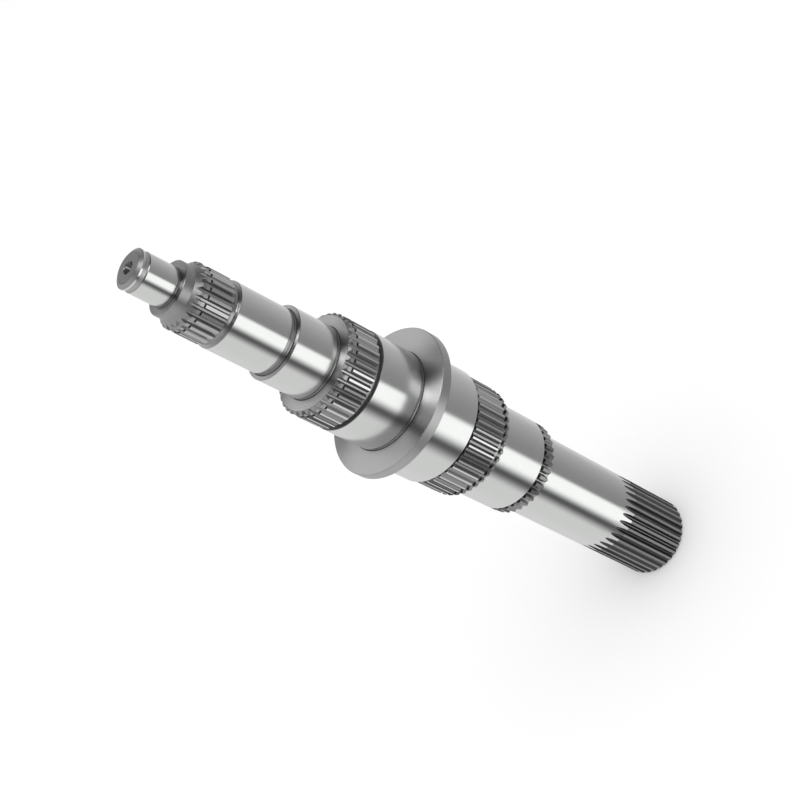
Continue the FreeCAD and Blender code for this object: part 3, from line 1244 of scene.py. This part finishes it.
@dataclass
class OutputEnd(ToothedStretch):
    """The long journal, and the output spline with the hob's run-outs above it.

    Gathering is the length of journal over which the rings' points draw together. Crowding below 1
    sets the run-outs' rings closer together near their tips. The end bevel's rings are shares of
    the end's edge: how far inside it, and how far above the end face.
    """

    END_BEVEL = ((0.0, 1.1), (0.3, 0.5), (1.0, 0.0))

    name: str = "output_end"
    teeth: int = 33
    tip_radius: float = 25.0
    tooth_height: float = 1.5
    land_share: float = 0.38
    flank_angle: float = 30.0
    turn: float = 5.0
    centre: CentreHole = CentreHole()
    face_reach: float = 1.2
    hob_start: float = 48.0
    journal_top: float = 129.7
    ground_start: float = 48.6
    end_edge: float = 1.0
    gathering: float = 6.0
    run_out_rings: int = 12
    crowding: float = 0.7

    def outline(self) -> Outline:
        """The rings of this stretch, from the top down."""
        rings = Outline()
        radius = self.tip_radius
        rings.to(radius + self.face_reach, self.journal_top)
        rings.hollow(radius, self.journal_top, self.corner, rising=True)
        lift = self.hob_radius - self.tooth_height
        run_out = math.sqrt(self.hob_radius ** 2 - lift ** 2)
        top = self.hob_start + run_out
        for cut in (0.0, 0.25, 0.5, 0.75, self.NEARLY_CUT):
            rings.to(radius, top + self.gathering * (1 - cut), Surface.GROUND, cut)
        for step in range(self.run_out_rings):
            share = (1 - step / self.run_out_rings) ** self.crowding
            rings.teeth(radius, self.hob_start + run_out * share, RUN_OUT)
        rings.teeth(radius, self.ground_start, RUN_OUT)
        rings.teeth(radius, self.hob_start, OUTPUT_TEETH)
        for inward, up in self.END_BEVEL:
            rings.teeth(radius - inward * self.end_edge, up * self.end_edge, OUTPUT_TEETH)
        rings.to(self.floor_radius - self.groove_clearance, 0.0)
        self.centre.draw(rings, 0.0, facing_up=False)
        return rings


@dataclass
class MainShaft:
    """The whole shaft: five stretches joined into one closed skin."""

    name: str = "shaft_skin"
    stretches: tuple[ToothedStretch, ...] = (PilotEnd(), UpperHub(), LowerHub(), EndSpline(), OutputEnd())
    sharp_angle: float = 30.0

    def build(self) -> bpy.types.Object:
        """Builds the shaft in its place.

        Returns:
            The shaft's one piece.
        """
        finishes = {surface: surface.value.material() for surface in Surface}
        tree = SkinTree().build()
        skins = [stretch.skin(tree, finishes) for stretch in self.stretches]
        points, faces, slots = self.join(skins)
        mesh = bpy.data.meshes.new(self.name)
        mesh.from_pydata(points, [], faces)
        for surface in Surface:
            mesh.materials.append(finishes[surface])
        mesh.polygons.foreach_set("material_index", slots)
        mesh.polygons.foreach_set("use_smooth", [True] * len(faces))
        mesh.validate()
        self.sharpen(mesh, np.concatenate([skin.land_borders() for skin in skins]))
        piece = bpy.data.objects.new(self.name, mesh)
        bpy.context.scene.collection.objects.link(piece)
        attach(piece, "root")
        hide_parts("main_shaft")
        triangles = sum(len(face) - 2 for face in faces)
        log.info("%s: %d points, %d triangles", self.name, len(points), triangles)
        return piece

    def sharpen(self, mesh: bpy.types.Mesh, borders: np.ndarray) -> None:
        """Marks the sharp edges: those with a large angle, and the long borders of all lands.

        Args:
            mesh: The shaft's mesh.
            borders: Which of its points are on a land's border.
        """
        mesh.set_sharp_from_angle(angle=math.radians(self.sharp_angle))
        ends = np.zeros(len(mesh.edges) * 2, dtype=np.int32)
        mesh.edges.foreach_get("vertices", ends)
        sharp = np.zeros(len(mesh.edges), dtype=bool)
        mesh.edges.foreach_get("use_edge_sharp", sharp)
        sharp |= borders[ends.reshape(-1, 2)].all(axis=1)
        mesh.edges.foreach_set("use_edge_sharp", sharp)

    def join(self, skins: list[Skin]) -> tuple[list[tuple[float, ...]], list[tuple[int, ...]], list[int]]:
        """Joins the stretches' skins, and closes the two ends.

        Args:
            skins: The skins from the top down.

        Returns:
            The points, the faces and the slots of their finishes.
        """
        points, faces, slots, first = [], [], [], 0
        ends = []
        for skin in skins:
            count, columns = skin.rings.shape[:2]
            points += skin.rings.reshape(-1, 3).tolist()
            corners, kinds = skin.faces(first)
            faces += corners
            slots += kinds
            last = first + (count - 1) * columns
            ends.append(([first + c for c in range(columns)], [last + c for c in range(columns)]))
            first += count * columns
        for (_, above), (below, _), skin in zip(ends, ends[1:], skins[1:]):
            strip = self.zip_rings(points, above, below)
            faces += strip
            slots += [skin.stations[0].finish.land.slot] * len(strip)
        faces.append(tuple(ends[0][0]))
        faces.append(tuple(reversed(ends[-1][1])))
        slots += [Surface.TURNED.slot] * 2
        return points, faces, slots

    def zip_rings(self, points: list[list[float]], above: list[int],
                  below: list[int]) -> list[tuple[int, ...]]:
        """Joins two rings with different numbers of points by triangles.

        Args:
            points: All the points.
            above: The upper stretch's last ring.
            below: The lower stretch's first ring.

        Returns:
            The triangles.
        """
        def turned(ring: list[int]) -> tuple[list[int], list[float]]:
            """Starts a ring at its smallest angle.

            Args:
                ring: The ring's points.

            Returns:
                The points in their new order, and their angles.
            """
            angles = [math.atan2(points[p][1], points[p][0]) % (2 * math.pi) for p in ring]
            start = angles.index(min(angles))
            order = ring[start:] + ring[:start]
            return order, angles[start:] + angles[:start]

        upper, upper_angles = turned(above)
        lower, lower_angles = turned(below)
        upper, upper_angles = upper + upper[:1], upper_angles + [upper_angles[0] + 2 * math.pi]
        lower, lower_angles = lower + lower[:1], lower_angles + [lower_angles[0] + 2 * math.pi]
        strip, i, j = [], 0, 0
        while i < len(above) or j < len(below):
            if j == len(below) or (i < len(above) and upper_angles[i + 1] <= lower_angles[j + 1]):
                strip.append((upper[i], lower[j], upper[i + 1]))
                i += 1
            else:
                strip.append((upper[i], lower[j], lower[j + 1]))
                j += 1
        return strip


# Floor, light and camera


@dataclass(frozen=True)
class Fade:
    """A smooth step from 0 at start to 1 at end, which may lie either way round."""

    start: float
    end: float

    def of(self, value: Value) -> Value:
        """The step at a value."""
        return value.smooth(self.start, self.end)


@dataclass(frozen=True)
class SidePanels:
    """The sides of the tent, as the shaft's cylinders reflect them.

    From its front, a cylinder reflects a white panel with a gap below it, then the lower panel on
    one side and the upper panel on the other, which is brighter at its side and its back. Far up,
    which a journal reflects by way of the face below it, all but the white panel are dimmer.
    """

    white: float = 1.38
    white_low: Fade = Fade(-12, 0)
    white_high: Fade = Fade(17.5, 12)
    upper: float = 0.36
    upper_edge: Fade = Fade(12, 17.5)
    side: float = 0.32
    side_rise: Fade = Fade(18, 75)
    back: float = 0.25
    back_rise: Fade = Fade(90, 178)
    lower: float = 0.93
    lower_edge: Fade = Fade(-13, -27)
    gap: float = 0.13
    gap_end: Fade = Fade(12, 17)
    far_up: Fade = Fade(0.42, 0.58)
    far_up_loss: float = 0.6

    def level(self, turn: Value, lift: Value) -> Value:
        """The brightness that a cylinder reflects.

        Args:
            turn: Where on it: degrees from its front, towards +X.
            lift: How far from the middle of the tent's side: 0 in the middle, 1 overhead.

        Returns:
            The brightness.
        """
        kept = 1 - self.far_up_loss * self.far_up.of(lift)
        below = self.lower_edge.of(turn)
        white = self.white * self.white_high.of(turn) * self.white_low.of(turn)
        upper = self.upper + self.side * self.side_rise.of(turn) + self.back * self.back_rise.of(turn)
        upper = upper * self.upper_edge.of(turn) * kept
        gap = self.gap * (1 - below) * (1 - self.gap_end.of(turn))
        return white + upper + self.lower * below * kept + gap


@dataclass(frozen=True)
class OverheadPanels:
    """The top of the tent, as the shaft's faces reflect it, which looks the same half a turn on.

    A narrow white panel stands between two wide ones. The shade dims them on the faces' +X side.
    """

    white: float = 4.0
    white_start: Fade = Fade(11, 21)
    white_end: Fade = Fade(37, 27)
    white_lift: Fade = Fade(0.64, 0.76)
    wide: float = 0.95
    left_edge: Fade = Fade(-12, -24)
    right_edge: Fade = Fade(44, 88)
    shade: float = 0.2
    shade_start: Fade = Fade(28, 60)
    shade_end: Fade = Fade(150, 115)
    least: float = 0.01

    def level(self, turn: Value, lift: Value) -> Value:
        """The brightness that a face reflects.

        Args:
            turn: Where on it: degrees from its front, towards +X.
            lift: How far from the middle of the tent's side: 0 in the middle, 1 overhead.

        Returns:
            The brightness.
        """
        half = turn.math("WRAP", 90.0, -90.0)
        white = self.white_start.of(half) * self.white_end.of(half) * self.white_lift.of(lift)
        left = self.wide * self.left_edge.of(half)
        right = self.wide * self.right_edge.of(half)
        shade = 1 - self.shade * self.shade_start.of(turn) * self.shade_end.of(turn)
        return (self.white * white + left + right) * shade + self.least


@dataclass(frozen=True)
class Studio:
    """A pale floor, a soft lamp and a white tent with dark gaps, which the steel reflects.

    View is the way from the camera to the shaft, in the shaft's frame. The tent's panels are laid
    out round the shaft as a viewer there sees them. Where the steel reflects what is straight
    ahead of that viewer, all the panels would meet, and there the tent fades to its back level.
    """

    floor_size: float = 30.0
    floor_colour: Colour = (0.96, 0.96, 0.96)
    floor_roughness: float = 0.9
    lamp_size: float = 2.0
    lamp_power: float = 10.0
    lamp_place: tuple[float, float, float] = (0.8, -0.6, 2.6)
    lamp_way: tuple[float, float, float] = (0.8, -0.6, 2.4)
    camera_place: tuple[float, float, float] = (3.458, -677.438, 719.778)
    camera_turn: tuple[float, float, float] = (32.4379, 46.0662, -48.5706)
    camera_lens: float = 66.899
    camera_shift: tuple[float, float] = (-0.000625, 0.000625)
    camera_reach: tuple[float, float] = (0.05, 100.0)
    sensor: float = 36.0
    view: tuple[float, float, float] = (0.0, -0.815, 0.579)
    side: SidePanels = SidePanels()
    overhead: OverheadPanels = OverheadPanels()
    overhead_edge: Fade = Fade(0.62, 0.70)
    back_edge: Fade = Fade(0.8, 0.35)
    back_level: float = 0.8
    least_length: float = 0.001

    def build(self) -> None:
        """Builds the floor, the light and the camera."""
        self.floor()
        self.lamp()
        self.tent()
        self.camera()
        bpy.context.scene.view_settings.view_transform = "Standard"

    def floor(self) -> None:
        """Builds the floor."""
        half = self.floor_size / 2
        corners = [(-half, -half, 0), (half, -half, 0), (half, half, 0), (-half, half, 0)]
        mesh = bpy.data.meshes.new("studio_floor")
        mesh.from_pydata(corners, [], [(0, 1, 2, 3)])
        floor = bpy.data.objects.new("studio_floor", mesh)
        bpy.context.scene.collection.objects.link(floor)
        floor.visible_glossy = False
        made = bpy.data.materials.new("floor_paper")
        made.use_nodes = True
        tree = made.node_tree
        tree.nodes.clear()
        look = {"Base Color": (*self.floor_colour, 1.0), "Roughness": self.floor_roughness}
        shader = add_node(tree, "ShaderNodeBsdfPrincipled", inputs=look)
        add_node(tree, "ShaderNodeOutputMaterial", inputs={"Surface": shader.outputs["BSDF"]})
        mesh.materials.append(made)

    def lamp(self) -> None:
        """Builds the one soft lamp overhead."""
        lamp = bpy.data.lights.new("soft_box", "AREA")
        lamp.shape = "DISK"
        lamp.size = self.lamp_size
        lamp.energy = self.lamp_power
        box = bpy.data.objects.new("soft_box", lamp)
        box.location = self.lamp_place
        box.rotation_euler = Vector(self.lamp_way).to_track_quat("Z", "Y").to_euler()
        box.visible_glossy = False
        bpy.context.scene.collection.objects.link(box)

    def tent(self) -> None:
        """Builds the tent: plain white for the camera, and bright and dark panels for the steel."""
        world = bpy.data.worlds.new("tent")
        bpy.context.scene.world = world
        world.use_nodes = True
        tree = world.node_tree
        tree.nodes.clear()
        ways = split(tree, add_node(tree, "ShaderNodeTexCoord").outputs["Generated"])
        x, y, z = (way + axis for way, axis in zip(ways, self.view))
        turn = x.math("ARCTAN2", -y) * (180 / math.pi)
        length = (x * x + y * y + z * z).root()
        lift = z / length.at_least(self.least_length)
        overhead = self.overhead_edge.of(lift)
        panels = self.side.level(turn, lift) * (1 - overhead) + self.overhead.level(turn, lift) * overhead
        behind = self.back_edge.of(length)
        panels = panels * (1 - behind) + self.back_level * behind
        glossy = Value(tree, add_node(tree, "ShaderNodeLightPath").outputs["Is Glossy Ray"])
        level = panels * glossy + (1 - glossy)
        look = {"Color": (1.0, 1.0, 1.0, 1.0), "Strength": level}
        light = add_node(tree, "ShaderNodeBackground", inputs=look)
        add_node(tree, "ShaderNodeOutputWorld", inputs={"Surface": light.outputs["Background"]})

    def camera(self) -> None:
        """Builds the camera at the photograph's viewing angle."""
        lens = bpy.data.cameras.new("camera")
        lens.lens = self.camera_lens
        lens.sensor_width = self.sensor
        lens.shift_x, lens.shift_y = self.camera_shift
        lens.clip_start, lens.clip_end = self.camera_reach
        eye = bpy.data.objects.new("camera", lens)
        eye.location = [place * MM for place in self.camera_place]
        eye.rotation_euler = [math.radians(turn) for turn in self.camera_turn]
        bpy.context.scene.collection.objects.link(eye)
        bpy.context.scene.camera = eye


def main() -> None:
    """Builds the shaft and the studio."""
    logging.basicConfig(level=logging.INFO, format="%(name)s: %(message)s")
    MainShaft().build()
    Studio().build()


if __name__ == "__main__":
    main()
